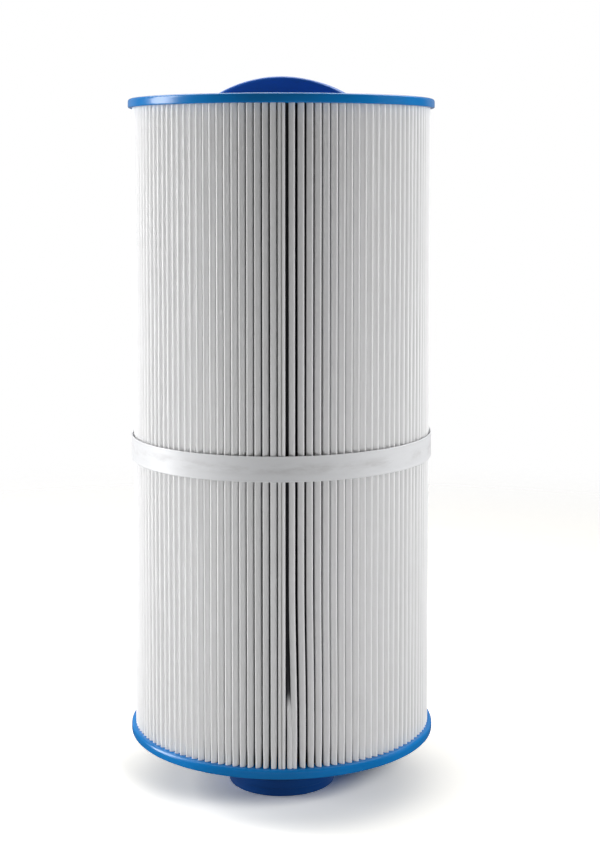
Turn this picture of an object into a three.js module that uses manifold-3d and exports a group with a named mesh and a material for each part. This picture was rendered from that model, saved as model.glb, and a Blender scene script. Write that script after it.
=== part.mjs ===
// Pleated filter cartridge for a pool or spa: two potted end caps, a grip on the top one, a 2 inch
// tapered thread under the bottom one, a lattice centre tube, a folded media sheet and a strap.
// Millimetres, +Z up. The origin is the centre of the end face of the threaded fitting.

import Module from "manifold-3d";
import * as THREE from "three";
import { mergeVertices } from "three/addons/utils/BufferGeometryUtils.js";

const wasm = await Module();
wasm.setup();

const clearance = 0.3; // between any two pieces that touch on the real cartridge

// End caps.
const capRadius = 76.2; // 6 inch cartridge
const capThickness = 4.5;
const capEdge = 0.9; // radius of the cap's outer edges
const channelDepth = 2.0; // the potting channel that the pleat ends stand in
const channelOuterRadius = 74.9;
const bottomCapZ = 27.8; // underside of the bottom cap, where the fitting's neck ends
const capSpacing = 312.7; // underside to underside

// Threaded fitting, 2 inch tapered pipe thread, 11.5 threads per inch, right-hand.
const boreRadius = 21.5;
const pilotRadius = 26.8;
const pilotHeight = 4.2;
const stepRadius = 27.8;
const threadStartZ = 8.0;
const threadEndZ = 26.1;
const threadMajorRadius = 30.15; // at the top of the thread
const threadTaper = 1 / 32; // radius per length, 1 in 16 on the diameter
const threadPitch = 25.4 / 11.5;
const threadFlat = 0.28; // width of the crest and of the root
const threadDepth = (threadPitch / 2 - threadFlat) * Math.sqrt(3);
const neckRadius = 28.4;
const anchorRadius = 33.0; // flange that is cast into the bottom cap
const anchorThickness = 1.2;
const anchorSkin = 1.0; // cap thickness under the flange
const spigotRadius = 24.5; // stands inside the centre tube
const spigotHeight = 15;

// Centre tube.
const coreInnerRadius = 25.0;
const coreOuterRadius = 28.0;
const coreSections = 4;
const coreWindowColumns = 10;
const coreWindowRows = 3;
const coreWindowWidth = 11.4;
const coreRingHeight = 4.6;
const lapHeight = 3.0; // one section's lip stands this far into the next

// Media.
const mediaInnerRadius = 28.5;
const mediaOuterRadius = 74.5;
const mediaThickness = 0.5;
const regularPleats = 125;
const seamPitches = 1.1; // the seam takes the room of this many pleats
const foldHalfWidth = 1.3; // of a pleat's outer loop
const foldTipHalfWidth = 0.6;
const foldTipDepth = 1.0;
const rootHalfWidth = 0.35;
const seamAngle = -Math.PI / 2;
const seamHalfWidth = 1.8;
const seamStripDepth = 22;
const seamStripHalfWidth = 0.5;
const seamStripOuterHalfWidth = 0.8;

// Strap round the pleats.
const bandCentreZ = 173.1;
const bandWidth = 12.0;
const bandInnerRadius = 74.8;
const bandThickness = 0.5;
const bandLapAngle = THREE.MathUtils.degToRad(16); // overlap welded at the back
const bandTilt = THREE.MathUtils.degToRad(-0.45);

// Grip and the cup under it.
const gripArcRadius = 66;
const gripRise = 11.4; // apex above the cap face
const gripHalfThickness = 5.5;
const gripTurn = THREE.MathUtils.degToRad(-14); // from the X axis, as the insert was set in the cap
const gripEdge = 1.2; // rounding of the fin's edges
const flangeRadius = 39.4;
const flangeThickness = 1.2;
const cupOuterRadius = 24.5;
const cupInnerRadius = 22.9;
const cupDepth = 20;
const cupFloor = 2.0;

// Heights that follow.
const bottomChannelZ = bottomCapZ + capThickness - channelDepth;
const topCapZ = bottomCapZ + capSpacing;
const topFaceZ = topCapZ + capThickness;
const topChannelZ = topCapZ + channelDepth;
const mediaBottomZ = bottomChannelZ + clearance;
const mediaTopZ = topChannelZ - clearance;
const flangeSeatZ = topFaceZ - flangeThickness - clearance;

const finish = {
  capBlue: { color: 0x0b6fc4, roughness: 0.28 },
  gripBlue: { color: 0x0d5aa8, roughness: 0.32 },
  fittingBlue: { color: 0x0a3f7c, roughness: 0.4 },
  coreWhite: { color: 0xe4e6e6, roughness: 0.55 },
  mediaWhite: { color: 0xe9eaea, roughness: 0.9 },
  seamWhite: { color: 0xe0e2e2, roughness: 0.6 },
  bandWhite: { color: 0xf0f1f1, roughness: 0.5 },
};

// A closed body as a manifold solid: shared vertices merged, triangles with no area left out.
function toSolid(geometry) {
  const bare = geometry.clone();
  bare.deleteAttribute("normal");
  bare.deleteAttribute("uv");
  const merged = mergeVertices(bare, 1e-4);
  const corners = merged.index.array;
  const triangles = [];
  for (let i = 0; i < corners.length; i += 3) {
    const [a, b, c] = corners.slice(i, i + 3);
    if (a !== b && b !== c && c !== a) {
      triangles.push(a, b, c);
    }
  }
  return new wasm.Manifold(
    new wasm.Mesh({
      numProp: 3,
      vertProperties: new Float32Array(merged.attributes.position.array),
      triVerts: new Uint32Array(triangles),
    }),
  );
}

function toGeometry(solid) {
  const mesh = solid.getMesh();
  const geometry = new THREE.BufferGeometry();
  geometry.setAttribute("position", new THREE.BufferAttribute(mesh.vertProperties, 3));
  geometry.setIndex(new THREE.BufferAttribute(mesh.triVerts, 1));
  return geometry;
}

// A body turned about Z. The outline is [radius, z] points, counter-clockwise with z upwards, and
// it closes on itself unless it starts on the axis.
function turned(outline, segments) {
  const points = outline.map(([radius, z]) => new THREE.Vector2(radius, z));
  if (outline[0][0] > 0) {
    points.push(points[0].clone());
  }
  return new THREE.LatheGeometry(points, segments).rotateX(Math.PI / 2);
}

// An outline given in plan, raised from one height to another.
function raised(shape, fromZ, toZ, curveSegments = 12) {
  const settings = { depth: toZ - fromZ, bevelEnabled: false, curveSegments };
  return new THREE.ExtrudeGeometry(shape, settings).translate(0, 0, fromZ);
}

function polar(radius, angle) {
  return new THREE.Vector2(radius * Math.cos(angle), radius * Math.sin(angle));
}

// A point at a radius, set off sideways from the line at an angle.
function beside(radius, angle, offset) {
  const onLine = polar(radius, angle);
  const sideways = polar(offset, angle + Math.PI / 2);
  return onLine.add(sideways);
}

// The rounded outer edge of a cap, from its lower face to its upper one.
function capRim(lowZ) {
  const shoulder = capEdge * (1 - Math.SQRT1_2);
  const highZ = lowZ + capThickness;
  return [
    [capRadius - capEdge, lowZ],
    [capRadius - shoulder, lowZ + shoulder],
    [capRadius, lowZ + capEdge],
    [capRadius, highZ - capEdge],
    [capRadius - shoulder, highZ - shoulder],
    [capRadius - capEdge, highZ],
  ];
}

function bottomEndCap() {
  const holeRadius = neckRadius + clearance;
  const seatRadius = anchorRadius + clearance;
  return turned(
    [
      [holeRadius, bottomCapZ],
      ...capRim(bottomCapZ),
      [channelOuterRadius, bottomCapZ + capThickness],
      [channelOuterRadius, bottomChannelZ],
      [seatRadius, bottomChannelZ],
      [seatRadius, bottomCapZ + anchorSkin],
      [holeRadius, bottomCapZ + anchorSkin],
    ],
    48,
  );
}

function topEndCap() {
  const holeRadius = cupOuterRadius + clearance;
  const seatRadius = flangeRadius + clearance;
  return turned(
    [
      [holeRadius, topChannelZ],
      [channelOuterRadius, topChannelZ],
      [channelOuterRadius, topCapZ],
      ...capRim(topCapZ),
      [seatRadius, topFaceZ],
      [seatRadius, flangeSeatZ],
      [holeRadius, flangeSeatZ],
    ],
    48,
  );
}

// A rod with the thread's ridge wound round it, long enough to be trimmed at both ends.
function threadRod() {
  const stepsPerTurn = 20;
  const turns = Math.ceil((threadEndZ - threadStartZ) / threadPitch) + 3;
  const flank = threadPitch / 2 - threadFlat;
  const profile = [
    [0, 0],
    [threadFlat, 0],
    [threadFlat + flank, threadDepth],
    [2 * threadFlat + flank, threadDepth],
  ];
  const firstZ = threadStartZ - 2 * threadPitch;
  const rows = turns * profile.length;
  const positions = [];
  const index = [];
  const vertexAt = (column, row) => {
    const wraps = column === stepsPerTurn;
    return (wraps ? row + profile.length : row) * stepsPerTurn + (wraps ? 0 : column);
  };
  for (let row = 0; row <= rows + profile.length; row += 1) {
    const [alongPitch, depth] = profile[row % profile.length];
    const turn = Math.floor(row / profile.length);
    for (let column = 0; column < stepsPerTurn; column += 1) {
      const share = column / stepsPerTurn;
      const z = firstZ + threadPitch * (turn + share) + alongPitch;
      const crest = threadMajorRadius - (threadEndZ - z) * threadTaper;
      const point = polar(crest - depth, share * 2 * Math.PI);
      positions.push(point.x, point.y, z);
    }
  }
  for (let row = 0; row < rows; row += 1) {
    for (let column = 0; column < stepsPerTurn; column += 1) {
      const low = vertexAt(column, row);
      const lowNext = vertexAt(column + 1, row);
      const high = vertexAt(column, row + 1);
      const highNext = vertexAt(column + 1, row + 1);
      index.push(low, lowNext, highNext, low, highNext, high);
    }
  }
  closeEnd(0, -1);
  closeEnd(rows, 1);

  // A fan from the axis to the end row, which climbs one pitch and drops back along the seam.
  function closeEnd(row, direction) {
    const hub = positions.length / 3;
    positions.push(0, 0, firstZ + threadPitch * (row / profile.length + 0.5));
    const loop = [];
    for (let column = 0; column <= stepsPerTurn; column += 1) {
      loop.push(vertexAt(column, row));
    }
    for (let step = profile.length - 1; step >= 0; step -= 1) {
      loop.push(vertexAt(0, row + step));
    }
    for (let i = 0; i + 1 < loop.length; i += 1) {
      const edge = direction > 0 ? [loop[i], loop[i + 1]] : [loop[i + 1], loop[i]];
      index.push(hub, ...edge);
    }
  }

  const geometry = new THREE.BufferGeometry();
  geometry.setAttribute("position", new THREE.Float32BufferAttribute(positions, 3));
  geometry.setIndex(index);
  return toSolid(geometry);
}

function threadedFitting() {
  const segments = 40;
  const anchorZ = bottomChannelZ - anchorThickness;
  const topZ = bottomChannelZ + spigotHeight;
  const lead = 0.6;
  const body = toSolid(
    turned(
      [
        [boreRadius, 0],
        [pilotRadius - lead, 0],
        [pilotRadius, lead],
        [pilotRadius, pilotHeight],
        [stepRadius, pilotHeight],
        [stepRadius, threadStartZ + 0.5],
        [stepRadius - 1, threadStartZ + 1],
        [stepRadius - 1, threadEndZ - 1],
        [neckRadius, threadEndZ - 0.5],
        [neckRadius, anchorZ],
        [anchorRadius, anchorZ],
        [anchorRadius, bottomChannelZ],
        [spigotRadius, bottomChannelZ],
        [spigotRadius, topZ - lead],
        [spigotRadius - lead, topZ],
        [boreRadius, topZ],
      ],
      segments,
    ),
  );
  // the ends of the thread are chamfered, and between them the envelope stands clear of it
  const clearRadius = threadMajorRadius + 1;
  const chamferRise = clearRadius - neckRadius;
  const envelope = toSolid(
    turned(
      [
        [boreRadius + 1, threadStartZ],
        [stepRadius, threadStartZ],
        [clearRadius, threadStartZ + clearRadius - stepRadius],
        [clearRadius, threadEndZ - chamferRise],
        [neckRadius, threadEndZ],
        [boreRadius + 1, threadEndZ],
      ],
      segments,
    ),
  );
  return toGeometry(body.add(threadRod().intersect(envelope)));
}

// One length of the centre tube: a lip on top fits inside the recess of the next length.
function coreSection(lowZ, highZ, isLowest, isHighest) {
  const lapRadius = (coreInnerRadius + coreOuterRadius) / 2;
  const recess = [
    [lapRadius + clearance / 2, lowZ + lapHeight + clearance],
    [lapRadius + clearance / 2, lowZ],
    [coreOuterRadius, lowZ],
  ];
  const plainFoot = [[coreOuterRadius, lowZ]];
  const lip = [
    [coreOuterRadius, highZ],
    [lapRadius - clearance / 2, highZ],
    [lapRadius - clearance / 2, highZ + lapHeight],
    [coreInnerRadius, highZ + lapHeight],
  ];
  const plainHead = [
    [coreOuterRadius, highZ],
    [coreInnerRadius, highZ],
  ];
  const footZ = isLowest ? lowZ : lowZ + lapHeight + clearance;
  const tube = turned(
    [
      [coreInnerRadius, footZ],
      ...(isLowest ? plainFoot : recess),
      ...(isHighest ? plainHead : lip),
    ],
    30,
  );
  const windowsFromZ = footZ + coreRingHeight;
  const windowHeight = (highZ - windowsFromZ - coreWindowRows * coreRingHeight) / coreWindowRows;
  let solid = toSolid(tube);
  for (let row = 0; row < coreWindowRows; row += 1) {
    const centreZ = windowsFromZ + row * (windowHeight + coreRingHeight) + windowHeight / 2;
    for (let pair = 0; pair < coreWindowColumns / 2; pair += 1) {
      // one bar through the axis cuts two opposite windows
      const cutter = new THREE.BoxGeometry(3 * coreOuterRadius, coreWindowWidth, windowHeight);
      cutter.rotateZ((pair * 2 * Math.PI) / coreWindowColumns).translate(0, 0, centreZ);
      solid = solid.subtract(toSolid(cutter));
    }
  }
  return toGeometry(solid);
}

// The folded sheet in plan: one open zigzag strip, its two ends side by side at the seam.
function pleatOutline() {
  const pitchAngle = (2 * Math.PI) / (regularPleats + seamPitches);
  const seamHalfAngle = (seamPitches * pitchAngle) / 2;
  const endRadius = mediaOuterRadius - foldTipDepth;
  const valleyRadius = mediaInnerRadius + mediaThickness;
  const outside = [beside(endRadius, seamAngle, seamHalfWidth)];
  const inside = [beside(endRadius, seamAngle, seamHalfWidth - mediaThickness)];
  for (let pleat = 0; pleat <= regularPleats; pleat += 1) {
    const valleyAngle = seamAngle + seamHalfAngle + pleat * pitchAngle;
    outside.push(polar(valleyRadius, valleyAngle));
    inside.push(beside(mediaInnerRadius, valleyAngle, -rootHalfWidth));
    inside.push(beside(mediaInnerRadius, valleyAngle, rootHalfWidth));
    if (pleat < regularPleats) {
      const crestAngle = valleyAngle + pitchAngle / 2;
      outside.push(beside(endRadius, crestAngle, -foldHalfWidth));
      outside.push(beside(mediaOuterRadius, crestAngle, -foldTipHalfWidth));
      outside.push(beside(mediaOuterRadius, crestAngle, foldTipHalfWidth));
      outside.push(beside(endRadius, crestAngle, foldHalfWidth));
      const innerFold = foldHalfWidth - mediaThickness - 0.1;
      inside.push(beside(mediaOuterRadius - mediaThickness, crestAngle, -innerFold));
      inside.push(beside(mediaOuterRadius - mediaThickness, crestAngle, innerFold));
    }
  }
  outside.push(beside(endRadius, seamAngle, -seamHalfWidth));
  inside.push(beside(endRadius, seamAngle, -seamHalfWidth + mediaThickness));
  return new THREE.Shape([...outside, ...inside.reverse()]);
}

function pleatedMedia() {
  return raised(pleatOutline(), mediaBottomZ, mediaTopZ);
}

// The bonded strip between the sheet's two ends.
function mediaSeamStrip() {
  const outerRadius = mediaOuterRadius - 0.1;
  const innerRadius = outerRadius - seamStripDepth;
  const outline = new THREE.Shape([
    beside(innerRadius, seamAngle, -seamStripHalfWidth),
    beside(outerRadius, seamAngle, -seamStripOuterHalfWidth),
    beside(outerRadius, seamAngle, seamStripOuterHalfWidth),
    beside(innerRadius, seamAngle, seamStripHalfWidth),
  ]);
  return raised(outline, mediaBottomZ, mediaTopZ);
}

// The strap: one turn, its last few degrees welded over its start.
function retainingBand() {
  const steps = 72;
  const outerRadius = bandInnerRadius + bandThickness;
  const lapCentre = Math.PI / 2;
  const outer = [];
  const inner = [];
  for (let step = 0; step < steps; step += 1) {
    const angle = (step / steps) * 2 * Math.PI;
    const onLap = Math.abs(angle - lapCentre) < bandLapAngle / 2;
    outer.push(polar(outerRadius + (onLap ? bandThickness : 0), angle));
    inner.push(polar(bandInnerRadius, angle));
  }
  const outline = new THREE.Shape(outer);
  outline.holes.push(new THREE.Path(inner));
  return raised(outline, -bandWidth / 2, bandWidth / 2);
}

// The arched fin: a slice off the top of a round-edged upright disc, on a plain foot in the cup.
function gripFin() {
  const shoulder = gripEdge * (1 - Math.SQRT1_2);
  const disc = turned(
    [
      [0, -gripHalfThickness],
      [gripArcRadius - gripEdge, -gripHalfThickness],
      [gripArcRadius - shoulder, shoulder - gripHalfThickness],
      [gripArcRadius, gripEdge - gripHalfThickness],
      [gripArcRadius, gripHalfThickness - gripEdge],
      [gripArcRadius - shoulder, gripHalfThickness - shoulder],
      [gripArcRadius - gripEdge, gripHalfThickness],
      [0, gripHalfThickness],
    ],
    120,
  );
  disc.rotateX(Math.PI / 2).translate(0, 0, topFaceZ + gripRise - gripArcRadius);
  const inFlangeZ = topFaceZ - flangeThickness / 2;
  const slice = new THREE.BoxGeometry(2 * gripArcRadius, 3 * gripHalfThickness, gripArcRadius);
  slice.translate(0, 0, inFlangeZ + gripArcRadius / 2);
  const footZ = topFaceZ - cupDepth - cupFloor / 2;
  const footWidth = cupOuterRadius + cupInnerRadius;
  const foot = new THREE.BoxGeometry(footWidth, 2 * gripHalfThickness, topFaceZ - footZ);
  foot.translate(0, 0, (footZ + topFaceZ) / 2);
  return toSolid(disc).intersect(toSolid(slice)).add(toSolid(foot));
}

function handleInsert() {
  const floorZ = topFaceZ - cupDepth;
  const cup = turned(
    [
      [0, floorZ - cupFloor],
      [cupOuterRadius, floorZ - cupFloor],
      [cupOuterRadius, topFaceZ - flangeThickness],
      [flangeRadius, topFaceZ - flangeThickness],
      [flangeRadius, topFaceZ],
      [cupInnerRadius, topFaceZ],
      [cupInnerRadius, floorZ],
      [0, floorZ],
    ],
    48,
  );
  return toGeometry(toSolid(cup).add(gripFin()));
}

function piece(name, geometry, look) {
  const material = new THREE.MeshStandardMaterial({ metalness: 0, ...look });
  const mesh = new THREE.Mesh(geometry, material);
  mesh.name = name;
  return mesh;
}

const cartridge = new THREE.Group();
cartridge.add(piece("bottom_end_cap", bottomEndCap(), finish.capBlue));
cartridge.add(piece("top_end_cap", topEndCap(), finish.capBlue));
cartridge.add(piece("threaded_fitting", threadedFitting(), finish.fittingBlue));
cartridge.add(piece("pleated_media", pleatedMedia(), finish.mediaWhite));
cartridge.add(piece("media_seam_strip", mediaSeamStrip(), finish.seamWhite));

const grip = piece("handle_insert", handleInsert(), finish.gripBlue);
grip.rotation.z = gripTurn;
cartridge.add(grip);

const band = piece("retaining_band", retainingBand(), finish.bandWhite);
band.position.z = bandCentreZ;
band.rotation.y = bandTilt;
cartridge.add(band);

const sectionPitch = (mediaTopZ - mediaBottomZ + clearance) / coreSections;
for (let section = 0; section < coreSections; section += 1) {
  const lowZ = mediaBottomZ + section * sectionPitch;
  const highZ = lowZ + sectionPitch - clearance;
  const solid = coreSection(lowZ, highZ, section === 0, section === coreSections - 1);
  cartridge.add(piece(`core_section_${section + 1}`, solid, finish.coreWhite));
}

export default cartridge;
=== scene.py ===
import math

import bmesh
import bpy
from mathutils import Matrix, Vector, noise


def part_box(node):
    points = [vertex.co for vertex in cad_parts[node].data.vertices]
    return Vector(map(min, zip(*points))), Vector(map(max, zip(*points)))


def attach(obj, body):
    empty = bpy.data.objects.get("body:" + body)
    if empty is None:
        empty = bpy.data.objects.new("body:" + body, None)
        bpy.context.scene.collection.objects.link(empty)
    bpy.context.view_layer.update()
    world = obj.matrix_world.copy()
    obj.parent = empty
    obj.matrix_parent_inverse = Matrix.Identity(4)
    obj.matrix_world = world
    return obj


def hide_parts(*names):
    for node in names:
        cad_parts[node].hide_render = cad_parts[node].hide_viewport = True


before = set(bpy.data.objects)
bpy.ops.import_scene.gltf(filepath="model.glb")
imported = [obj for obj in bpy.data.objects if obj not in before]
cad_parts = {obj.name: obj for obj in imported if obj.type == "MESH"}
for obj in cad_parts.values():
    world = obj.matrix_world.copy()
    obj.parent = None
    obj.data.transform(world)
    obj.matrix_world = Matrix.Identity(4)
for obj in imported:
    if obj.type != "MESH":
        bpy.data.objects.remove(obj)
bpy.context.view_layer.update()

mm = 0.001
fullTurn = 2 * math.pi


def say(stage):
    print("stage:", stage)


# Camera: a long portrait lens near the height of the top cap. The vertical shift is kept small,
# so the rest of the way down is a slight tilt.
cameraLook = {
    "lens": 66.8,  # mm, on a 36 mm frame measured along its long side
    "distance": 793 * mm,  # from the cartridge's axis
    "belowTopFace": 34.3 * mm,
    "tiltDown": 3.77,  # degrees
    "turnRight": 0.67,
    "shift": -0.18,
    "nearest": 0.01,  # metres
    "farthest": 20,
}


def placeCamera():
    lens = bpy.data.cameras.new("camera")
    lens.lens = cameraLook["lens"]
    lens.sensor_width = 36
    lens.shift_y = cameraLook["shift"]
    lens.clip_start = cameraLook["nearest"]
    lens.clip_end = cameraLook["farthest"]
    camera = bpy.data.objects.new("camera", lens)
    bpy.context.collection.objects.link(camera)
    height = capFaceZ - cameraLook["belowTopFace"]
    turn = (
        Matrix.Rotation(math.radians(-cameraLook["turnRight"]), 4, "Z")
        @ Matrix.Rotation(math.radians(90 - cameraLook["tiltDown"]), 4, "X")
    )
    camera.matrix_world = Matrix.Translation((0, -cameraLook["distance"], height)) @ turn
    bpy.context.scene.camera = camera


# Places taken from the frame.
capLow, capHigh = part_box("top_end_cap")
footLow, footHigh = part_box("bottom_end_cap")
mediaLow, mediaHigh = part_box("pleated_media")
strapLow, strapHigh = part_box("retaining_band")
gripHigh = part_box("handle_insert")[1]
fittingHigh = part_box("threaded_fitting")[1]
capRadius = capHigh.x
capFaceZ = capHigh.z
strapMiddle = (strapLow.z + strapHigh.z) / 2

placeCamera()
say("camera")


def linear(hexColour):
    # sRGB hex to the linear colour that nodes take
    channels = [int(hexColour[i : i + 2], 16) / 255 for i in (1, 3, 5)]
    straight = [c / 12.92 if c <= 0.04045 else ((c + 0.055) / 1.055) ** 2.4 for c in channels]
    return (*straight, 1)


def addNode(tree, kind, settings=None, links=None):
    # a node with its settings, each input given as a value or as another node's socket
    node = tree.nodes.new(kind)
    for name, value in (settings or {}).items():
        setattr(node, name, value)
    for name, value in (links or {}).items():
        socket = node.inputs[name]
        if isinstance(value, bpy.types.NodeSocket):
            tree.links.new(value, socket)
        else:
            socket.default_value = value
    return node


def newMaterial(name):
    material = bpy.data.materials.new(name)
    material.use_nodes = True
    tree = material.node_tree
    tree.nodes.clear()
    place = addNode(tree, "ShaderNodeTexCoord").outputs["Object"]
    return material, tree, place


def setShader(tree, links):
    shader = addNode(tree, "ShaderNodeBsdfPrincipled", None, links)
    addNode(tree, "ShaderNodeOutputMaterial", None, {"Surface": shader.outputs["BSDF"]})


def perMetre(millimetres):
    # a texture scale that gives features of about this size
    return 1 / (millimetres * mm)


def finishPiece(piece, material, slotName, *nodes):
    piece.data.materials.clear()
    piece.data.materials.append(material)
    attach(piece, "root")
    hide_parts(*nodes)
    return piece


def makeObject(name, mesh):
    piece = bpy.data.objects.new(name, mesh)
    bpy.context.collection.objects.link(piece)
    return piece


def gridMesh(name, rows, closeAround=True, closeAlong=False, closeEnds=False):
    # rows of points with equal counts, joined to their neighbours by quads
    count = len(rows[0])
    points = [point for row in rows for point in row]
    faces = []
    rowPairs = len(rows) if closeAlong else len(rows) - 1
    across = count if closeAround else count - 1
    for i in range(rowPairs):
        here, there = i * count, (i + 1) % len(rows) * count
        for j in range(across):
            nextOne = (j + 1) % count
            faces.append((here + j, here + nextOne, there + nextOne, there + j))
    if closeEnds:
        faces.append(tuple(range(count))[::-1])
        faces.append(tuple(range(len(points) - count, len(points))))
    mesh = bpy.data.meshes.new(name)
    mesh.from_pydata(points, [], faces)
    mesh.validate()
    mesh.update()
    return mesh


def smooth(mesh, angle=40):
    mesh.shade_smooth()
    mesh.set_sharp_from_angle(angle=math.radians(angle))


def softCorners(outline, steps=5):
    # an outline of (radius, z, rounding) in millimetres, with each corner turned into an arc
    soft = []
    for i, (x, y, rounding) in enumerate(outline):
        corner = Vector((x, y))
        before = Vector(outline[i - 1][:2]) - corner
        after = Vector(outline[(i + 1) % len(outline)][:2]) - corner
        if rounding == 0:
            soft.append(corner)
            continue
        half = before.angle(after) / 2
        back = rounding / math.tan(half)
        start = corner + before.normalized() * back
        end = corner + after.normalized() * back
        for step in range(steps + 1):
            t = step / steps
            soft.append(start * (1 - t) ** 2 + corner * 2 * t * (1 - t) + end * t**2)
    return [(point.x * mm, point.y * mm) for point in soft]


def tidied(mesh):
    # doubled points joined, empty faces gone and all faces pointing out
    edit = bmesh.new()
    edit.from_mesh(mesh)
    bmesh.ops.remove_doubles(edit, verts=edit.verts, dist=0.001 * mm)
    bmesh.ops.recalc_face_normals(edit, faces=edit.faces)
    edit.to_mesh(mesh)
    edit.free()
    return mesh


def applied(piece):
    # works the piece's modifiers into its mesh
    graph = bpy.context.evaluated_depsgraph_get()
    worked = bpy.data.meshes.new_from_object(piece.evaluated_get(graph))
    worked.name = piece.data.name
    piece.modifiers.clear()
    piece.data = worked


def combined(piece, tool, operation):
    # joins the tool to the piece, or cuts with it; the tool is used up
    step = piece.modifiers.new("combine", "BOOLEAN")
    step.operation = operation
    step.solver = "EXACT"
    step.object = tool
    applied(piece)
    bpy.data.objects.remove(tool)


def turned(name, outline, segments=256, push=None):
    # the outline turned about the cartridge's axis; push may move a point in or out
    rows = []
    for i in range(segments):
        angle = fullTurn * i / segments
        row = []
        for radius, z in outline:
            r = radius + (push(radius, z, angle) if push else 0)
            row.append((r * math.cos(angle), r * math.sin(angle), z))
        rows.append(row)
    mesh = tidied(gridMesh(name, rows, closeAround=True, closeAlong=True))
    smooth(mesh)
    return mesh


def standingPrism(outline, halfDepth):
    # an upright outline of (x, z) in millimetres, pushed out to both sides along Y
    rows = [[(x * mm, y * mm, z * mm) for x, z in outline] for y in (-halfDepth, halfDepth)]
    return tidied(gridMesh("prism", rows, closeEnds=True))


def pouredUrethane():
    # Poured polyurethane elastomer: cast in an open mould, so it is glossy where it met the mould,
    # with a faint orange peel and a little cloudiness in the pigment.
    material, tree, place = newMaterial("pouredPolyurethane")
    cloud = addNode(tree, "ShaderNodeTexNoise", None, {
        "Vector": place, "Scale": perMetre(35), "Detail": 3, "Roughness": 0.55,
    })
    colour = addNode(tree, "ShaderNodeValToRGB", None, {"Fac": cloud.outputs["Fac"]})
    colour.color_ramp.elements[0].position = 0.3
    colour.color_ramp.elements[0].color = linear("#0271b8")
    colour.color_ramp.elements[1].position = 0.7
    colour.color_ramp.elements[1].color = linear("#027dca")
    peel = addNode(tree, "ShaderNodeTexNoise", None, {
        "Vector": place, "Scale": perMetre(2.2), "Detail": 2, "Roughness": 0.4,
    })
    gloss = addNode(tree, "ShaderNodeMapRange", None, {
        "Value": cloud.outputs["Fac"], "From Min": 0.3, "From Max": 0.7,
        "To Min": 0.2, "To Max": 0.26,
    })
    bump = addNode(tree, "ShaderNodeBump", None, {
        "Height": peel.outputs["Fac"], "Strength": 0.25, "Distance": 0.05 * mm,
    })
    setShader(tree, {
        "Base Color": colour.outputs["Color"], "Roughness": gloss.outputs["Result"],
        "IOR": 1.5, "Specular IOR Level": 0.5, "Normal": bump.outputs["Normal"],
    })
    return material


def mouldedAbs(name, dark, light, roughness):
    # Injection-moulded ABS: even colour that drifts a little with the flow of the melt, and a
    # satin gloss with the fine grain of a spark-eroded mould.
    material, tree, place = newMaterial(name)
    grain = addNode(tree, "ShaderNodeTexNoise", None, {
        "Vector": place, "Scale": perMetre(0.5), "Detail": 2,
    })
    flow = addNode(tree, "ShaderNodeTexNoise", None, {
        "Vector": place, "Scale": perMetre(20), "Detail": 2,
    })
    colour = addNode(tree, "ShaderNodeMix", {"data_type": "RGBA"}, {
        "Factor": flow.outputs["Fac"], "A": linear(dark), "B": linear(light),
    })
    bump = addNode(tree, "ShaderNodeBump", None, {
        "Height": grain.outputs["Fac"], "Strength": 0.2, "Distance": 0.03 * mm,
    })
    setShader(tree, {
        "Base Color": colour.outputs["Result"], "Roughness": roughness, "IOR": 1.53,
        "Specular IOR Level": 0.5, "Normal": bump.outputs["Normal"],
    })
    return material


def mouldedPolypropylene():
    # Natural white polypropylene, injection-moulded: waxy, matt and slightly see-through, with
    # faint flow marks that run along the tube.
    material, tree, place = newMaterial("mouldedPolypropylene")
    stretch = addNode(tree, "ShaderNodeMapping", None, {"Vector": place, "Scale": (1, 1, 0.15)})
    flow = addNode(tree, "ShaderNodeTexNoise", None, {
        "Vector": stretch.outputs["Vector"], "Scale": perMetre(6), "Detail": 3,
    })
    colour = addNode(tree, "ShaderNodeMix", {"data_type": "RGBA"}, {
        "Factor": flow.outputs["Fac"], "A": linear("#dde0e0"), "B": linear("#e9ebea"),
    })
    bump = addNode(tree, "ShaderNodeBump", None, {
        "Height": flow.outputs["Fac"], "Strength": 0.15, "Distance": 0.1 * mm,
    })
    setShader(tree, {
        "Base Color": colour.outputs["Result"], "Roughness": 0.5, "IOR": 1.49,
        "Subsurface Weight": 0.4, "Subsurface Radius": (1, 1, 1), "Subsurface Scale": 1 * mm,
        "Normal": bump.outputs["Normal"],
    })
    return material


def hotMeltStrip():
    # Hot-melt adhesive, pressed between the sheet's ends while soft: milky and waxy, with shallow
    # ripples where it was squeezed.
    material, tree, place = newMaterial("hotMeltAdhesive")
    ripple = addNode(tree, "ShaderNodeTexNoise", None, {
        "Vector": place, "Scale": perMetre(4), "Detail": 2,
    })
    colour = addNode(tree, "ShaderNodeMix", {"data_type": "RGBA"}, {
        "Factor": ripple.outputs["Fac"], "A": linear("#dad9d3"), "B": linear("#e8e8e4"),
    })
    bump = addNode(tree, "ShaderNodeBump", None, {
        "Height": ripple.outputs["Fac"], "Strength": 0.4, "Distance": 0.2 * mm,
    })
    setShader(tree, {
        "Base Color": colour.outputs["Result"], "Roughness": 0.45, "IOR": 1.48,
        "Subsurface Weight": 0.5, "Subsurface Radius": (1, 1, 1), "Subsurface Scale": 1 * mm,
        "Normal": bump.outputs["Normal"],
    })
    return material


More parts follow.
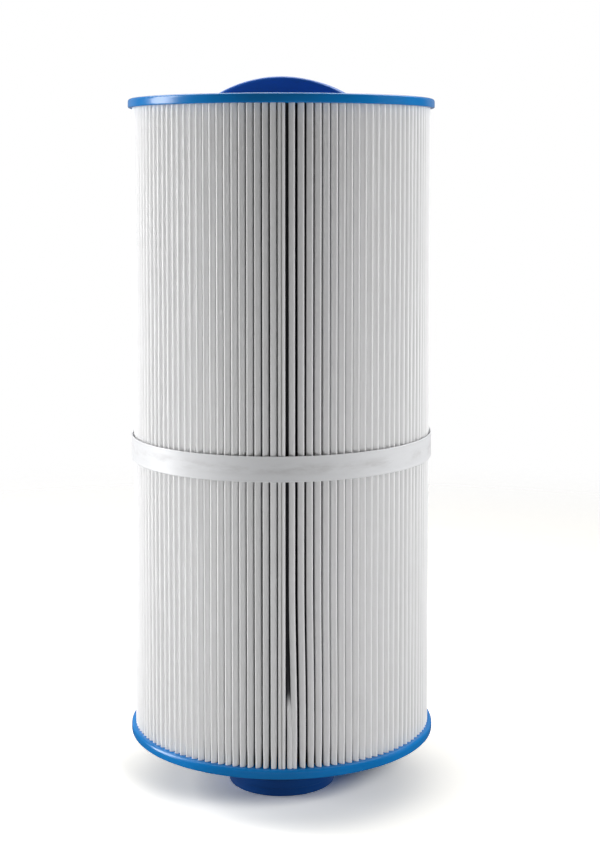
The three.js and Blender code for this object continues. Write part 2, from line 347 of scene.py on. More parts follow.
def extrudedStrap():
    # Polyester strap, extruded and drawn: semi-gloss and milky, with fine draw lines round the
    # cartridge. Its middle is painted greyer in patches, a painted dark reflection, and is rougher
    # there.
    material, tree, place = newMaterial("drawnPolyesterStrap")
    lines = addNode(tree, "ShaderNodeMapping", None, {"Vector": place, "Scale": (0.05, 0.05, 1)})
    drawn = addNode(tree, "ShaderNodeTexNoise", None, {
        "Vector": lines.outputs["Vector"], "Scale": perMetre(0.8), "Detail": 3,
    })
    stretch = addNode(tree, "ShaderNodeMapping", None, {"Vector": place, "Scale": (0.3, 0.3, 1)})
    reflectionNoise = addNode(tree, "ShaderNodeTexNoise", None, {
        "Vector": stretch.outputs["Vector"], "Scale": perMetre(5), "Detail": 4, "Roughness": 0.6,
    })
    height = addNode(tree, "ShaderNodeSeparateXYZ", None, {"Vector": place})
    middle = addNode(tree, "ShaderNodeMath", {"operation": "MINIMUM"})
    # painted dark reflection: a band along the middle of the strap's height is drawn greyer in
    # noise patches, and made rougher
    reflectionHalfWidth = 4.5 * mm
    for i, edge in enumerate((strapMiddle - reflectionHalfWidth, strapMiddle + reflectionHalfWidth)):
        fromEdge = addNode(tree, "ShaderNodeMapRange", {"interpolation_type": "SMOOTHSTEP"}, {
            "Value": height.outputs["Z"], "From Min": edge, "From Max": strapMiddle,
        })
        tree.links.new(fromEdge.outputs["Result"], middle.inputs[i])
    patches = addNode(tree, "ShaderNodeMapRange", None, {
        "Value": reflectionNoise.outputs["Fac"], "From Min": 0.42, "From Max": 0.62,
    })
    paintedReflection = addNode(tree, "ShaderNodeMath", {"operation": "MULTIPLY"})
    tree.links.new(middle.outputs["Value"], paintedReflection.inputs[0])
    tree.links.new(patches.outputs["Result"], paintedReflection.inputs[1])
    colour = addNode(tree, "ShaderNodeMix", {"data_type": "RGBA"}, {
        "Factor": paintedReflection.outputs["Value"], "A": linear("#e8e9eb"), "B": linear("#d8d8d9"),
    })
    gloss = addNode(tree, "ShaderNodeMapRange", None, {
        "Value": paintedReflection.outputs["Value"], "To Min": 0.38, "To Max": 0.6,
    })
    bump = addNode(tree, "ShaderNodeBump", None, {
        "Height": drawn.outputs["Fac"], "Strength": 0.25, "Distance": 0.05 * mm,
    })
    setShader(tree, {
        "Base Color": colour.outputs["Result"], "Roughness": gloss.outputs["Result"],
        "IOR": 1.55, "Specular IOR Level": 0.35, "Normal": bump.outputs["Normal"],
    })
    return material


def spunbondPolyester():
    # Spunbonded polyester: continuous fibres laid at random and pressed between hot rollers. It
    # is matt and white with a faint relief that runs with the fibres, up the pleats. Deep in the
    # folds it is painted dark grey, a painted shade that stands in for the shadow between the
    # pleats.
    material, tree, place = newMaterial("spunbondPolyester")
    stretch = addNode(tree, "ShaderNodeMapping", None, {"Vector": place, "Scale": (1, 1, 0.12)})
    fibres = addNode(tree, "ShaderNodeTexNoise", None, {
        "Vector": stretch.outputs["Vector"], "Scale": perMetre(0.6), "Detail": 3,
        "Roughness": 0.6,
    })
    cloud = addNode(tree, "ShaderNodeTexNoise", None, {
        "Vector": place, "Scale": perMetre(9), "Detail": 3, "Roughness": 0.5,
    })
    outside = addNode(tree, "ShaderNodeMix", {"data_type": "RGBA"}, {
        "Factor": cloud.outputs["Fac"], "A": linear("#f2f2f2"), "B": linear("#f7f7f8"),
    })
    plan = addNode(tree, "ShaderNodeMapping", None, {"Vector": place, "Scale": (1, 1, 0)})
    radius = addNode(tree, "ShaderNodeVectorMath", {"operation": "LENGTH"})
    tree.links.new(plan.outputs["Vector"], radius.inputs[0])
    # painted shade: from 1.8 mm to 4.8 mm inside the sheet's outer radius the colour is drawn to
    # dark grey, standing in for the shadow deep in the folds
    depth = addNode(tree, "ShaderNodeMapRange", {"interpolation_type": "SMOOTHSTEP"}, {
        "Value": radius.outputs["Value"], "From Min": mediaHigh.x - 4.8 * mm,
        "From Max": mediaHigh.x - 1.8 * mm,
    })
    colour = addNode(tree, "ShaderNodeMix", {"data_type": "RGBA"}, {
        "Factor": depth.outputs["Result"], "A": linear("#545558"),
        "B": outside.outputs["Result"],
    })
    bump = addNode(tree, "ShaderNodeBump", None, {
        "Height": fibres.outputs["Fac"], "Strength": 0.2, "Distance": 0.05 * mm,
    })
    setShader(tree, {
        "Base Color": colour.outputs["Result"], "Roughness": 0.75, "IOR": 1.5,
        "Specular IOR Level": 0.25, "Subsurface Weight": 0.6,
        "Subsurface Radius": (1, 1, 1), "Subsurface Scale": 0.5 * mm,
        "Normal": bump.outputs["Normal"],
    })
    return material


urethane = pouredUrethane()
# painted shade: the grip has the caps' blue and is given a darker blue for the shade on its face
gripAbsShaded = mouldedAbs("mouldedAbsGripShaded", "#005eba", "#0065c4", 0.38)
# painted shade: the fitting has the caps' blue and is given a dark navy for the shadow under the
# lower cap
fittingAbsShaded = mouldedAbs("mouldedAbsFittingShaded", "#003f86", "#004791", 0.34)
polypropylene = mouldedPolypropylene()
hotMelt = hotMeltStrip()
strapPolyester = extrudedStrap()
nonwoven = spunbondPolyester()
say("materials")

# The end caps are discs cast round the pleat ends, in millimetres. The upper edge is rounder,
# where the resin crept up the mould.
capShape = {
    "topEdge": 1.6,
    "lowEdge": 0.9,
    "innerEdge": 0.4,
    "holeRoundCup": 39.7,
    "holeRoundFitting": 28.7,
}


def castCap(name, lowZ, highZ, holeRadius):
    low, high, outside = lowZ / mm, highZ / mm, capRadius / mm
    outline = softCorners([
        (holeRadius, low, capShape["innerEdge"]),
        (outside, low, capShape["lowEdge"]),
        (outside, high, capShape["topEdge"]),
        (holeRadius, high, capShape["innerEdge"]),
    ])
    return makeObject(name, turned(name, outline))


topCap = castCap("topEndCap", capLow.z, capHigh.z, capShape["holeRoundCup"])
finishPiece(topCap, urethane, "end_cap_urethane", "top_end_cap")
bottomCap = castCap("bottomEndCap", footLow.z, footHigh.z, capShape["holeRoundFitting"])
finishPiece(bottomCap, urethane, "end_cap_urethane", "bottom_end_cap")
say("end caps")

# The pleat pack, in millimetres. Every pleat is a round loop at its crest and a tight fold at its
# root, and each wanders a little along its height.
pleats = {
    "count": 125,
    "seamPitches": 1.1,  # the seam takes the room of this many pleats
    "thickness": 0.5,
    "crestHalfWidth": 1.15,  # of the sheet's middle surface
    "crestDepth": 0.9,  # over which the crest rounds into the sides
    "crestSquareness": 2.5,  # 2 is an ellipse, more is squarer
    "crestSteps": 10,
    "crestInset": 0.1,
    "lean": 1.7,  # how far the side of a crest nearer the seam lies back
    "leanPower": 1.4,
    "leanFromSeam": 3,  # pleats over which the lean grows
    "leanFromBack": 12,
    "rootRadius": 0.355,
    "rootSteps": 3,
    "seamHalfWidth": 1.5,
    "seamGap": 0.3,  # between the sheet's two ends, in crest steps to each side
    "innerRadius": 28.5,
    "jitter": 0.13,  # sideways, from pleat to pleat
    "widthJitter": 0.05,
    "wander": 0.05,  # sideways, along the height
    "wanderLength": 90,
    "recess": 0.1,
    "pinchHeight": 14,  # the crests narrow over this height as they enter the lower cap
    "pinch": 0.8,
    "pinchFrom": 2,
    "seamPinch": 0.4,  # the seam pleat's share of that
    "seamWander": 0.3,  # its share of the wandering, as it is stiff
    "crowding": 2.7,  # the pleats right of the seam stand closer to it
    "crowdingAtFoot": 1.7,
    "crowdingFrom": 20,
    "crowdingTo": 90,
    "crowdingReach": 4.5,  # in pleats
    "hiddenRecess": 7,  # the pleat beside the seam shows only near the foot
    "hiddenShift": 0.7,
    "hiddenFrom": 48,
    "hiddenTo": 22,
    "besideSeamShift": 0.3,
    "besideSeamWidth": 0.78,
    "rows": 24,
    "rowsNearEnds": 0.6,  # 0 spreads the rows evenly
    "seed": 11.3,
}

# keeps the noises that move the pleats apart from each other
salts = {"wander": 0, "place": 40, "recess": 80, "width": 120}


def ease(value, low, high):
    t = min(max((value - low) / (high - low), 0), 1)
    return t * t * (3 - 2 * t)


def drift(number, z, salt):
    # a smooth value between about -1 and 1, the same every run
    apart = 7.31
    spot = Vector((number * apart + salts[salt], z / pleats["wanderLength"], pleats["seed"]))
    return 2 * noise.noise(spot)


def crestAt(number, z):
    # sideways shift, radius and half width of one pleat's crest at a height
    outer = mediaHigh.x / mm - pleats["thickness"] / 2
    height = z - mediaLow.z / mm
    inResin = 1 - ease(height, pleats["pinchFrom"], pleats["pinchHeight"])
    narrowed = (1 - pleats["pinch"]) * inResin
    shift = pleats["jitter"] * drift(number, 0, "place")
    shift += pleats["wander"] * drift(number, z, "wander")
    radius = outer - pleats["recess"] * abs(drift(number, z, "recess")) - pleats["crestInset"]
    if number == pleats["count"]:
        half = pleats["seamHalfWidth"] * (1 - narrowed * pleats["seamPinch"])
        return shift * pleats["seamWander"], radius, half
    half = pleats["crestHalfWidth"]
    if number == 0:
        hidden = ease(height, pleats["hiddenTo"], pleats["hiddenFrom"])
        shift -= pleats["besideSeamShift"] + pleats["hiddenShift"] * hidden
        radius -= pleats["hiddenRecess"] * hidden
        return shift, radius, half * pleats["besideSeamWidth"]
    crowding = pleats["crowdingAtFoot"] + (
        pleats["crowding"] - pleats["crowdingAtFoot"]
    ) * ease(height, pleats["crowdingFrom"], pleats["crowdingTo"])
    shift -= crowding * math.exp(-(number - 1) / pleats["crowdingReach"])
    width = 1 + pleats["widthJitter"] * drift(number, 0, "width")
    return shift, radius, half * (1 - narrowed) * width


def leanOf(number):
    # away from the seam on both sides of it, and none at the seam or straight across from it
    count = pleats["count"]
    fromSeam = min(number + 1, count - number)
    away = 1 if number < count / 2 else -1
    nearSeam = ease(fromSeam, 0, pleats["leanFromSeam"])
    nearBack = ease(count / 2 - fromSeam, 0, pleats["leanFromBack"])
    return away * pleats["lean"] * nearSeam * nearBack


def beside(radius, angle, offset):
    # a point at a radius, set off sideways from the line at an angle
    return Vector((
        radius * math.cos(angle) - offset * math.sin(angle),
        radius * math.sin(angle) + offset * math.cos(angle),
    ))


def sheetLine(z):
    # the sheet's middle line in plan at one height, from one end round to the other
    pitch = fullTurn / (pleats["count"] + pleats["seamPitches"])
    seamAngle = -math.pi / 2
    seamHalf = pitch * pleats["seamPitches"] / 2
    rootRadius = pleats["rootRadius"]
    rootCentre = pleats["innerRadius"] + pleats["thickness"] / 2 + rootRadius
    line = []

    def crest(number, angle, steps):
        shift, radius, half = crestAt(number, z)
        power = 2 / pleats["crestSquareness"]
        lean = leanOf(number)
        for step in steps:
            turn = math.pi * step / pleats["crestSteps"]
            across = math.copysign(abs(math.cos(turn)) ** power, math.cos(turn))
            along = math.sin(turn) ** power if 0 < step < pleats["crestSteps"] else 0
            towards = (1 + math.copysign(1, lean) * across) / 2
            laidBack = abs(lean) * towards ** pleats["leanPower"]
            depth = pleats["crestDepth"] * (1 - along) + laidBack
            line.append(beside(radius - depth, angle, shift - half * across))

    # the sheet's two ends face each other on top of the seam pleat
    last = pleats["crestSteps"]
    gap = pleats["seamGap"]
    crest(pleats["count"], seamAngle, [last / 2 + gap, *range(last // 2 + 1, last + 1)])
    for number in range(pleats["count"] + 1):
        rootAngle = seamAngle + seamHalf + pitch * number
        for step in range(pleats["rootSteps"] + 1):
            turn = math.pi * step / pleats["rootSteps"]
            line.append(beside(
                rootCentre - rootRadius * math.sin(turn), rootAngle, -rootRadius * math.cos(turn)
            ))
        if number < pleats["count"]:
            crest(number, rootAngle + pitch / 2, range(last + 1))
    crest(pleats["count"], seamAngle, [*range(last // 2), last / 2 - gap])
    return line


def thickened(line, thickness):
    # both sides of the sheet, as one closed loop of points
    left, right = [], []
    for i, point in enumerate(line):
        ahead = line[min(i + 1, len(line) - 1)]
        behind = line[max(i - 1, 0)]
        along = (ahead - behind).normalized()
        across = Vector((along.y, -along.x)) * thickness / 2
        left.append(point + across)
        right.append(point - across)
    return left + right[::-1]


def pleatedSheet():
    low, high = mediaLow.z / mm, mediaHigh.z / mm
    rows = []
    count = pleats["rows"]
    for i in range(count):
        t = i / (count - 1)
        # rows stand closer together near the ends
        eased = t - pleats["rowsNearEnds"] * math.sin(fullTurn * t) / fullTurn
        z = low + (high - low) * eased
        loop = thickened(sheetLine(z), pleats["thickness"])
        rows.append([(p.x * mm, p.y * mm, z * mm) for p in loop])
    mesh = gridMesh("pleatedMedia", rows)
    edit = bmesh.new()
    edit.from_mesh(mesh)
    edit.verts.ensure_lookup_table()
    across = len(rows[0])
    for base, isTop in ((0, False), ((count - 1) * across, True)):
        for j in range(across // 2 - 1):
            corners = [base + j, base + j + 1, base + across - 2 - j, base + across - 1 - j]
            if not isTop:
                corners.reverse()
            edit.faces.new([edit.verts[c] for c in corners])
    bmesh.ops.recalc_face_normals(edit, faces=edit.faces)
    edit.to_mesh(mesh)
    edit.free()
    smooth(mesh, 60)
    return makeObject("pleatedMedia", mesh)


def lengthOf(line):
    return sum((after - before).length for before, after in zip(line, line[1:]))


mediaPiece = pleatedSheet()
finishPiece(mediaPiece, nonwoven, "media_nonwoven", "pleated_media")
sheetLength = lengthOf(sheetLine((mediaLow.z + mediaHigh.z) / 2 / mm)) * mm
say("pleated media, %.2f m of sheet in %d faces" % (sheetLength, len(mediaPiece.data.polygons)))

# The strip that bonds the sheet's two ends inside the seam pleat, in millimetres.
seam = {
    "innerRadius": 52.4,
    "outerRadius": 73.4,
    "innerHalfWidth": 0.45,
    "outerHalfWidth": 0.75,
    "innerRounding": 0.25,
    "outerRounding": 0.5,
    "ripple": 0.12,
    "rippleLength": 4,
    "rows": 60,
}


def seamStrip():
    outline = softCorners([
        (seam["innerRadius"], -seam["innerHalfWidth"], seam["innerRounding"]),
        (seam["outerRadius"], -seam["outerHalfWidth"], seam["outerRounding"]),
        (seam["outerRadius"], seam["outerHalfWidth"], seam["outerRounding"]),
        (seam["innerRadius"], seam["innerHalfWidth"], seam["innerRounding"]),
    ])
    rows = []
    for i in range(seam["rows"] + 1):
        z = mediaLow.z + (mediaHigh.z - mediaLow.z) * i / seam["rows"]
        shift = crestAt(pleats["count"], z / mm)[0] * mm
        row = []
        for radius, offset in outline:
            spot = Vector((z / (seam["rippleLength"] * mm), offset / mm, 3))
            squeezed = seam["ripple"] * mm * noise.noise(spot)
            point = beside(radius + squeezed, -math.pi / 2, offset + shift)
            row.append((point.x, point.y, z))
        rows.append(row)
    mesh = tidied(gridMesh("mediaSeamStrip", rows, closeEnds=True))
    smooth(mesh)
    return makeObject("mediaSeamStrip", mesh)


finishPiece(seamStrip(), hotMelt, "seam_adhesive", "media_seam_strip")
say("seam strip")

# The strap round the pleats, in millimetres and degrees. It has a thin bead along both edges, and
# its end is welded over its start at the back.
strap = {
    "innerRadius": 74.8,
    "thickness": 0.5,
    "clearance": 0.05,
    "pull": 0.05,  # how far it pulls in or stands off between the crests
    "pullWaves": 5,  # more gives shorter waves round the cartridge
    "beadWidth": 0.9,
    "beadHeight": 0.1,
    "beadFlat": 0.6,  # of the bead's width
    "cornerCut": 0.12,
    "edgeDrop": 0.14,
    "edgeWidth": 0.3,
    "edgeOverrun": 0.05,
    "sectionSteps": 36,
    "lap": 16,
    "lapMiddle": 450,  # straight back, once round from 90
    "step": 0.7,
    "lapStep": 0.3,
    "liftOver": 4,  # degrees over which the end climbs onto the start
    "knurlPitch": 1.2,
    "knurlDepth": 0.16,
    "weldGap": 0.02,
    "weldHalfLength": 7,
    "weldFlatLength": 6.5,  # the dimples grow shallow beyond this
    "weldHalfWidth": 4.4,
    "weldFlatWidth": 4,
    "tilt": -0.45,
    "tiltRadius": 76,  # where the tilt's rise is taken
}


def strapSection():
    # once round the strap's section, as (height above the inner face, z)
    tiltRise = strap["tiltRadius"] * math.sin(math.radians(-strap["tilt"]))
    half = (strapHigh.z - strapLow.z) / mm / 2 - tiltRise
    cut = strap["cornerCut"]
    section = [(0, half - cut), (0, cut - half), (cut, -half)]
    steps = strap["sectionSteps"]
    beadWidth = strap["beadWidth"]
    for i in range(steps + 1):
        z = half * (2 * i / steps - 1)
        fromEdge = half - abs(z)
        bead = strap["beadHeight"] * (1 - ease(fromEdge, beadWidth * strap["beadFlat"], beadWidth))
        inRounding = 1 - ease(fromEdge, -strap["edgeOverrun"], strap["edgeWidth"])
        rounding = strap["edgeDrop"] * inRounding
        section.append((strap["thickness"] - strap["beadHeight"] + bead - rounding, z))
    return [*section, (cut, half)]


def knurl(angle, z):
    # the weld's crossed rows of dimples, from 0 to 1
    fromMiddle = math.radians(abs(angle - strap["lapMiddle"])) * strap["innerRadius"]
    inLength = 1 - ease(fromMiddle, strap["weldFlatLength"], strap["weldHalfLength"])
    inWidth = 1 - ease(abs(z), strap["weldFlatWidth"], strap["weldHalfWidth"])
    along = math.sin(fullTurn * fromMiddle / strap["knurlPitch"])
    across = math.sin(fullTurn * z / strap["knurlPitch"])
    return inLength * inWidth * max(along * across, 0) ** 0.5


def retainingStrap():
    start = strap["lapMiddle"] - 360 - strap["lap"] / 2
    end = strap["lapMiddle"] + strap["lap"] / 2
    lapStart = end - strap["lap"]
    angles = []
    angle = start
    while angle < end:
        angles.append(angle)
        onLap = angle > lapStart - strap["liftOver"]
        angle += strap["lapStep"] if onLap else strap["step"]
    angles.append(end)
    section = strapSection()
    tilt = Matrix.Rotation(math.radians(strap["tilt"]), 3, "Y")
    rows = []
    for angle in angles:
        climbed = ease(angle, lapStart - strap["liftOver"], lapStart)
        lift = (strap["thickness"] + strap["weldGap"]) * climbed
        turn = math.radians(angle)
        spot = strap["pullWaves"] * Vector((math.cos(turn), math.sin(turn), 0))
        inside = strap["innerRadius"] + strap["clearance"] + strap["pull"] * noise.noise(spot)
        row = []
        for height, z in section:
            onOuterFace = height > 0.2
            dimple = strap["knurlDepth"] * knurl(angle, z) if onOuterFace else 0
            radius = inside + height + lift - dimple
            point = Vector((radius * math.cos(turn), radius * math.sin(turn), z))
            row.append(tilt @ point * mm + Vector((0, 0, strapMiddle)))
        rows.append(row)
    mesh = tidied(gridMesh("retainingStrap", rows, closeEnds=True))
    smooth(mesh)
    return makeObject("retainingStrap", mesh)


finishPiece(retainingStrap(), strapPolyester, "band_polyester", "retaining_band")
say("strap")

# The grip and the cup under it, in millimetres: one moulding, turned a little in the cap.
grip = {
    "flangeRadius": 39.4,
    "flangeThickness": 1.2,
    "cupOuterRadius": 24.5,
    "cupInnerRadius": 22.9,
    "cupDepth": 20,
    "floorThickness": 2,
    "arcRadius": 66,
    "halfThickness": 5.5,
    "edge": 2,
    "flangeEdge": 0.4,
    "hiddenEdge": 0.3,
    "cupLip": 0.9,
    "cupEdge": 0.8,
    "cupCorner": 2,
    "turn": -14,
}


def handleInsert():
    face = capFaceZ / mm
    floor = face - grip["cupDepth"]
    underFlange = face - grip["flangeThickness"]
    cup = makeObject("handleInsert", turned("handleInsert", softCorners([
        (0, floor - grip["floorThickness"], 0),
        (grip["cupOuterRadius"], floor - grip["floorThickness"], grip["cupEdge"]),
        (grip["cupOuterRadius"], underFlange, grip["hiddenEdge"]),
        (grip["flangeRadius"], underFlange, grip["hiddenEdge"]),
        (grip["flangeRadius"], face, grip["flangeEdge"]),
        (grip["cupInnerRadius"], face, grip["cupLip"]),
        (grip["cupInnerRadius"], floor, grip["cupCorner"]),
        (0, floor, 0),
    ]), segments=192))
    # a slice off the top of an upright disc with rounded edges, with a foot down into the cup
    disc = turned("fin", softCorners([
        (0, -grip["halfThickness"], 0),
        (grip["arcRadius"], -grip["halfThickness"], grip["edge"]),
        (grip["arcRadius"], grip["halfThickness"], grip["edge"]),
        (0, grip["halfThickness"], 0),
    ]), segments=360)
    disc.transform(Matrix.Rotation(math.pi / 2, 4, "X"))
    disc.transform(Matrix.Translation((0, 0, gripHigh.z - grip["arcRadius"] * mm)))
    fin = makeObject("fin", disc)
    footHalf = (grip["cupOuterRadius"] + grip["cupInnerRadius"]) / 2
    footZ = floor - grip["floorThickness"] / 2
    inFlange = face - grip["flangeThickness"] / 2
    reach = grip["arcRadius"]
    keep = makeObject("keep", standingPrism([
        (-footHalf, footZ), (footHalf, footZ), (footHalf, inFlange), (reach, inFlange),
        (reach, face + reach), (-reach, face + reach), (-reach, inFlange), (-footHalf, inFlange),
    ], 2 * grip["halfThickness"]))
    combined(fin, keep, "INTERSECT")
    combined(cup, fin, "UNION")
    cup.data.transform(Matrix.Rotation(math.radians(grip["turn"]), 4, "Z"))
    smooth(tidied(cup.data))
    return cup


finishPiece(handleInsert(), gripAbsShaded, "handle_plastic", "handle_insert")
say("grip and cup")

# The fitting, in millimetres: a plain pilot, a step, a 2 inch tapered pipe thread with 11.5
# threads to the inch, and inside the cap a flange that anchors it and a spigot in the tube.
fitting = {
    "boreRadius": 21.5,
    "pilotRadius": 26.8,
    "pilotHeight": 4.2,
    "stepRadius": 27.8,
    "threadStart": 8,
    "threadEnd": 26.1,
    "majorRadius": 30.15,  # at the top of the thread
    "taper": 1 / 32,
    "pitch": 25.4 / 11.5,
    "depth": 1.43,
    "flat": 0.13,  # half the crest, as a share of the pitch
    "samplesPerPitch": 14,
    "neckRadius": 28.4,
    "anchorRadius": 33,
    "anchorSkin": 1.3,  # the cap's thickness under the anchor
    "anchorThickness": 1.2,
    "spigotRadius": 24.5,
    "boreEdge": 0.5,
    "pilotEdge": 0.6,
    "stepEdge": 0.4,
    "neckEdge": 0.2,
    "hiddenEdge": 0.3,
    "plainSkin": 1,  # round the bore, where the thread moves nothing
}


def threadPush(radius, z, angle):
    # lifts the plain outline between the thread's ends onto a right-hand helix
    inThread = fitting["threadStart"] * mm < z < fitting["threadEnd"] * mm
    inBore = radius < (fitting["boreRadius"] + fitting["plainSkin"]) * mm
    if inBore or not inThread:
        return 0
    height = z / mm
    crest = fitting["majorRadius"] - (fitting["threadEnd"] - height) * fitting["taper"]
    phase = ((height - fitting["threadStart"]) / fitting["pitch"] - angle / fullTurn) % 1
    fromCrest = min(phase, 1 - phase)
    flank = min(max((fromCrest - fitting["flat"] / 2) / (0.5 - fitting["flat"]), 0), 1)
    ridge = crest - fitting["depth"] * flank
    leadIn = fitting["stepRadius"] + height - fitting["threadStart"]
    runOut = fitting["neckRadius"] + fitting["threadEnd"] - height
    return min(ridge, leadIn, runOut) * mm - radius


def threadedFitting():
    low, high = fitting["threadStart"], fitting["threadEnd"]
    anchorLow = footLow.z / mm + fitting["anchorSkin"]
    anchorHigh = anchorLow + fitting["anchorThickness"]
    top = fittingHigh.z / mm
    hidden = fitting["hiddenEdge"]
    outline = softCorners([
        (fitting["boreRadius"], 0, fitting["boreEdge"]),
        (fitting["pilotRadius"], 0, fitting["pilotEdge"]),
        (fitting["pilotRadius"], fitting["pilotHeight"], hidden),
        (fitting["stepRadius"], fitting["pilotHeight"], fitting["stepEdge"]),
        (fitting["stepRadius"], low, 0),
    ])
    steps = round((high - low) / fitting["pitch"] * fitting["samplesPerPitch"])
    for i in range(1, steps):
        outline.append((fitting["stepRadius"] * mm, (low + (high - low) * i / steps) * mm))
    outline += softCorners([
        (fitting["neckRadius"], high, 0),
        (fitting["neckRadius"], anchorLow, fitting["neckEdge"]),
        (fitting["anchorRadius"], anchorLow, hidden),
        (fitting["anchorRadius"], anchorHigh, hidden),
        (fitting["spigotRadius"], anchorHigh, hidden),
        (fitting["spigotRadius"], top, fitting["boreEdge"]),
        (fitting["boreRadius"], top, fitting["boreEdge"]),
    ])
    mesh = turned("threadedFitting", outline, segments=192, push=threadPush)
    return makeObject("threadedFitting", mesh)


finishPiece(threadedFitting(), fittingAbsShaded, "fitting_plastic", "threaded_fitting")
say("threaded fitting")

# The centre tube's four lengths, in millimetres. Each has three rows of round-cornered windows,
# and a lip on top that stands inside the recess of the next.
tube = {
    "innerRadius": 25,
    "outerRadius": 28,
    "lapRadius": 26.5,
    "lapGap": 0.15,
    "lap": 3,
    "recess": 3.3,
    "columns": 10,
    "windowRows": 3,
    "windowWidth": 11.4,
    "windowCorner": 2,
    "ring": 4.6,
    "edge": 0.35,
    "cutPast": 2,  # how far the windows' cutters reach past both faces
}


def windowCutters(fromZ, windowHeight):
    # a round-cornered bar for every window, all in one mesh
    half = tube["windowWidth"] / 2
    cutters = bmesh.new()
    for row in range(tube["windowRows"]):
        low = fromZ + row * (windowHeight + tube["ring"])
        outline = softCorners([
            (-half, low, tube["windowCorner"]),
            (half, low, tube["windowCorner"]),
            (half, low + windowHeight, tube["windowCorner"]),
            (-half, low + windowHeight, tube["windowCorner"]),
        ])
        for column in range(tube["columns"]):
            turn = Matrix.Rotation(fullTurn * column / tube["columns"], 3, "Z")
            ends = []
            past = tube["cutPast"]
            for radius in (tube["innerRadius"] - past, tube["outerRadius"] + past):
                ends.append([
                    cutters.verts.new(turn @ Vector((radius * mm, y, z))) for y, z in outline
                ])
            for i in range(len(outline)):
                j = (i + 1) % len(outline)
                cutters.faces.new((ends[0][i], ends[0][j], ends[1][j], ends[1][i]))
            cutters.faces.new(ends[0][::-1])
            cutters.faces.new(ends[1])
    mesh = bpy.data.meshes.new("windows")
    bmesh.ops.recalc_face_normals(cutters, faces=cutters.faces)
    cutters.to_mesh(mesh)
    cutters.free()
    return makeObject("windows", mesh)


def coreSection(number):
    low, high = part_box("core_section_%d" % number)
    isLowest, isHighest = number == 1, number == 4
    lowZ = low.z / mm
    highZ = high.z / mm - (0 if isHighest else tube["lap"])
    footZ = lowZ if isLowest else lowZ + tube["recess"]
    inner, outer, edge = tube["innerRadius"], tube["outerRadius"], tube["edge"]
    outline = [(inner, footZ, edge)]
    if not isLowest:
        recessRadius = tube["lapRadius"] + tube["lapGap"]
        outline += [(recessRadius, footZ, 0), (recessRadius, lowZ, edge)]
    outline += [(outer, lowZ, edge), (outer, highZ, edge)]
    if not isHighest:
        lipRadius = tube["lapRadius"] - tube["lapGap"]
        outline += [(lipRadius, highZ, 0), (lipRadius, highZ + tube["lap"], edge)]
        outline.append((inner, highZ + tube["lap"], edge))
    else:
        outline.append((inner, highZ, edge))
    name = "coreSection%d" % number
    piece = makeObject(name, turned(name, softCorners(outline, 3), segments=120))
    rings = tube["windowRows"] * tube["ring"]
    fromZ = footZ + tube["ring"]
    windowHeight = (highZ - fromZ - rings) / tube["windowRows"]
    combined(piece, windowCutters(fromZ, windowHeight), "DIFFERENCE")
    smooth(tidied(piece.data))
    return piece


for number in range(1, 5):
    finishPiece(
        coreSection(number), polypropylene, "core_polypropylene", "core_section_%d" % number
    )
say("centre tube")

# Studio, in metres and watts: a white floor that fades out into a white surround, a softbox on
# each side, one overhead and a pale wall behind. A low card and two softboxes that light only the
# floor fill the shadows.
studio = {
    "floorRadius": 1.6,
    "floorRings": 24,
    "floorSectors": 96,
    "fadeFrom": 0.4,
    "fadeTo": 0.9,
    "paper": "#969696",
    "overexposure": 1.45,
    "balance": (1.02, 1, 0.95),
    "surround": 0.085,  # what the white surround gives the cartridge, against 1 to the eye
}
middle = (0, 0, 0.17)
floorPoint = (0, 0, 0)
softboxes = {
    "leftSoftbox": {
        "place": (-1.19, 0.12, 0.4), "target": middle, "width": 0.5, "height": 1.2,
        "power": 18.5,
    },
    "rightSoftbox": {
        "place": (1.2, 0.05, 0.4), "target": middle, "width": 0.7, "height": 1.2,
        "power": 14, "seenInGloss": False, "floor": "EXCLUDE",
    },
    "overheadSoftbox": {
        "place": (0, 0.55, 1.25), "target": (0, 0.1, 0.3), "width": 1.8, "height": 0.9,
        "power": 22, "floor": "EXCLUDE",
    },
    "backWall": {
        "place": (0, 1.5, 0.6), "target": (0, 0, 0.3), "width": 3.2, "height": 1.5,
        "power": 4, "floor": "EXCLUDE",
    },
    "bounceCard": {
        "place": (0, -0.42, 0.01), "target": (0, 0, 0.2), "width": 0.6, "height": 0.3,
        "power": 1.2, "seenInGloss": False, "floor": "EXCLUDE",
    },
    "sweepSoftbox": {
        "place": (0.45, -0.95, 0.62), "target": floorPoint, "width": 0.5, "height": 0.2,
        "power": 9, "floor": "INCLUDE",
    },
    "floorSoftbox": {
        "place": (0, 0, 1.5), "target": floorPoint, "width": 2.4, "height": 2.4,
        "power": 14, "floor": "INCLUDE",
    },
}


def paintWorld():
    world = bpy.data.worlds.new("whiteSurround")
    world.use_nodes = True
    tree = world.node_tree
    tree.nodes.clear()
    rays = addNode(tree, "ShaderNodeLightPath")
    seen = addNode(tree, "ShaderNodeBackground", None, {"Color": linear("#ffffff"), "Strength": 1})
    given = addNode(tree, "ShaderNodeBackground", None, {
        "Color": linear("#ffffff"), "Strength": studio["surround"],
    })
    both = addNode(tree, "ShaderNodeMixShader")
    tree.links.new(rays.outputs["Is Camera Ray"], both.inputs[0])
    tree.links.new(given.outputs["Background"], both.inputs[1])
    tree.links.new(seen.outputs["Background"], both.inputs[2])
    addNode(tree, "ShaderNodeOutputWorld", None, {"Surface": both.outputs["Shader"]})
    bpy.context.scene.world = world


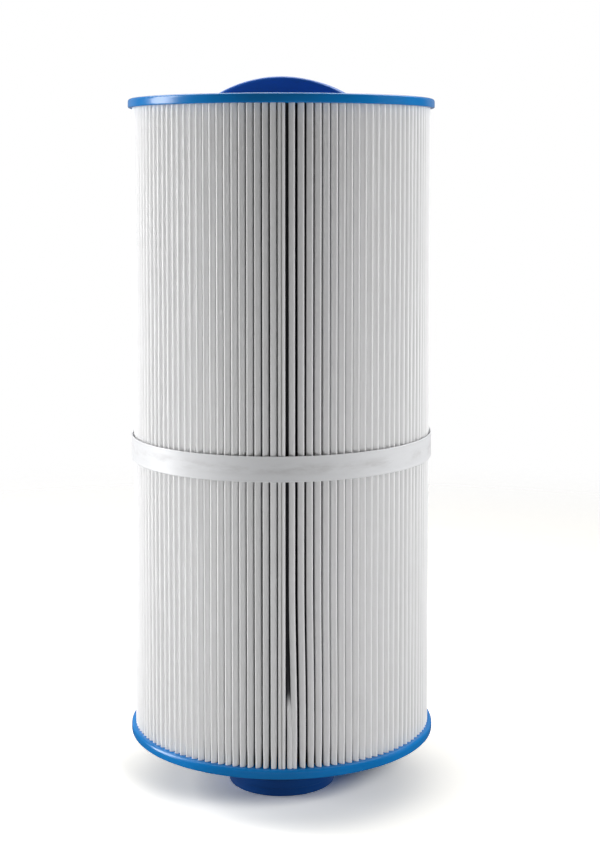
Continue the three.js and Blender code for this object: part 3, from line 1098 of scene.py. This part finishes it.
def softbox(name, place, target, width, height, power, seenInGloss=True, floor=None):
    light = bpy.data.lights.new(name, "AREA")
    light.shape = "RECTANGLE"
    light.size = width
    light.size_y = height
    light.energy = power
    lamp = bpy.data.objects.new(name, light)
    lamp.location = place
    aim = Vector(target) - Vector(place)
    lamp.rotation_euler = aim.to_track_quat("-Z", "Y").to_euler()
    lamp.visible_camera = False
    lamp.visible_glossy = seenInGloss
    bpy.context.collection.objects.link(lamp)
    if floor:
        # the lamp lights only the floor, or everything but the floor
        receivers = bpy.data.collections.new(name + "Receivers")
        receivers.objects.link(whiteFloor)
        receivers.collection_objects[0].light_linking.link_state = floor
        lamp.light_linking.receiver_collection = receivers


def layFloor():
    rings, sectors = studio["floorRings"], studio["floorSectors"]
    rows = []
    for i in range(rings + 1):
        radius = max(studio["floorRadius"] * (i / rings) ** 1.5, 1 * mm)
        turns = [fullTurn * j / sectors for j in range(sectors)]
        rows.append([(radius * math.cos(turn), radius * math.sin(turn), 0) for turn in turns])
    floor = makeObject("floor", gridMesh("floor", rows))
    material, tree, place = newMaterial("paperSweep")
    length = addNode(tree, "ShaderNodeVectorMath", {"operation": "LENGTH"})
    tree.links.new(place, length.inputs[0])
    fade = addNode(tree, "ShaderNodeMapRange", {"interpolation_type": "SMOOTHSTEP"}, {
        "Value": length.outputs["Value"], "From Min": studio["fadeFrom"],
        "From Max": studio["fadeTo"],
    })
    # overexposed to the eye, but no brighter than white paper in what it gives back; a warm
    # balance takes out the blue that the caps throw on it
    rays = addNode(tree, "ShaderNodeLightPath")
    given = addNode(tree, "ShaderNodeBsdfDiffuse", None, {"Color": linear(studio["paper"])})
    boost = [studio["overexposure"] * part for part in studio["balance"]]
    seen = addNode(tree, "ShaderNodeBsdfDiffuse", None, {"Color": (*boost, 1)})
    paper = addNode(tree, "ShaderNodeMixShader", None, {"Fac": rays.outputs["Is Camera Ray"]})
    tree.links.new(given.outputs["BSDF"], paper.inputs[1])
    tree.links.new(seen.outputs["BSDF"], paper.inputs[2])
    clear = addNode(tree, "ShaderNodeBsdfTransparent")
    both = addNode(tree, "ShaderNodeMixShader", None, {"Fac": fade.outputs["Result"]})
    tree.links.new(paper.outputs["Shader"], both.inputs[1])
    tree.links.new(clear.outputs["BSDF"], both.inputs[2])
    addNode(tree, "ShaderNodeOutputMaterial", None, {"Surface": both.outputs["Shader"]})
    floor.data.materials.append(material)
    floor.visible_glossy = False
    return floor


paintWorld()
whiteFloor = layFloor()
for name, look in softboxes.items():
    softbox(name, **look)
bpy.context.scene.view_settings.view_transform = "Standard"
bpy.context.scene.view_settings.look = "None"
say("studio")
